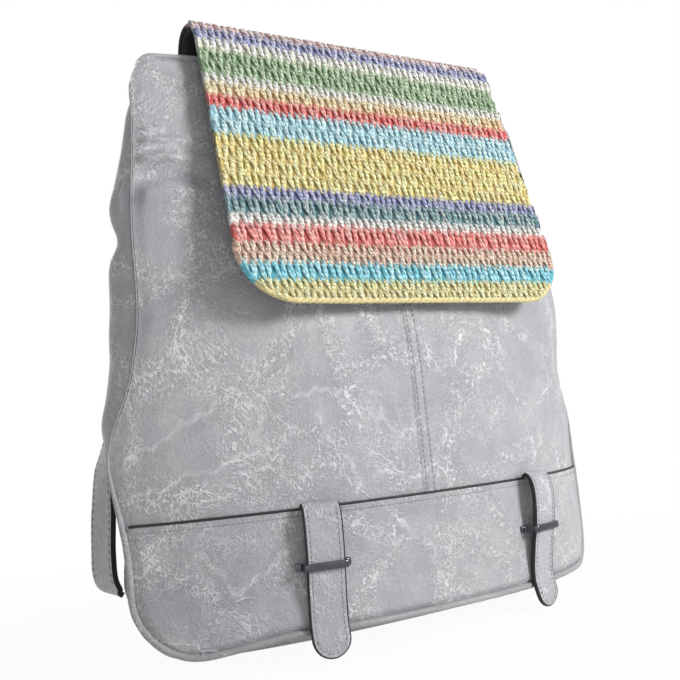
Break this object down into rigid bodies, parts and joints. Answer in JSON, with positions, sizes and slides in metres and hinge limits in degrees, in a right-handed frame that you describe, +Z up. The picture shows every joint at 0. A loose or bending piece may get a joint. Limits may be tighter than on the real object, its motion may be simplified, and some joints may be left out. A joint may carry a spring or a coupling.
{
  "type": "backpack",
  "caption": "Small soft backpack with a wedge-shaped leather body, a striped woven flap over an open mouth, front trim straps in metal keepers and two shoulder straps.",
  "frame": {"origin": "middle of the bag's footprint, on the surface it stands on", "axes": "+Z up, +X to the right of someone facing the front, the front faces -Y"},
  "size_m": [0.3324, 0.1384, 0.35],
  "materials": {
    "crackled_leather": "grey coated leather with pale crackle veins, half gloss",
    "strap_leather": "grey coated leather with black painted edges",
    "black_cloth": "plain black lining cloth",
    "striped_yarn": "thick mottled yarn in rows of many colours",
    "dark_metal": "gunmetal plating"
  },
  "bodies": {
    "bag": {"front_left_half": "crackled_leather", "front_right_half": "crackled_leather", "front_band": "crackled_leather", "left_gusset": "crackled_leather", "right_gusset": "crackled_leather", "base_panel": "crackled_leather", "back_panel": "crackled_leather", "front_piping": "crackled_leather", "back_piping": "crackled_leather", "lining": "black_cloth", "left_trim_strap": "strap_leather", "right_trim_strap": "strap_leather", "left_strap_keeper": "dark_metal", "right_strap_keeper": "dark_metal", "snap_socket": "dark_metal", "yoke": "crackled_leather", "grab_handle": "strap_leather", "left_shoulder_strap": "strap_leather", "right_shoulder_strap": "strap_leather", "left_strap_ring": "dark_metal", "right_strap_ring": "dark_metal", "left_ring_tab": "strap_leather", "right_ring_tab": "strap_leather"},
    "flap": {"flap_weave": "striped_yarn", "flap_lining": "black_cloth", "snap_stud": "dark_metal"},
    "left_slider": {"left_strap_slider": "dark_metal"},
    "right_slider": {"right_strap_slider": "dark_metal"}
  },
  "joints": [
    {"name": "flap_hinge", "type": "hinge", "parent": "bag", "child": "flap", "pos_m": [0.0033, 0.0019, 0.318], "axis": [-1, 0, 0], "range_deg": [0, 115]},
    {"name": "left_slider_travel", "type": "slide", "parent": "bag", "child": "left_slider", "axis": [0.8707, -0.1057, 0.4804], "range_m": [0, 0.034]},
    {"name": "right_slider_travel", "type": "slide", "parent": "bag", "child": "right_slider", "axis": [-0.8707, -0.1057, 0.4804], "range_m": [0, 0.034]}
  ]
}
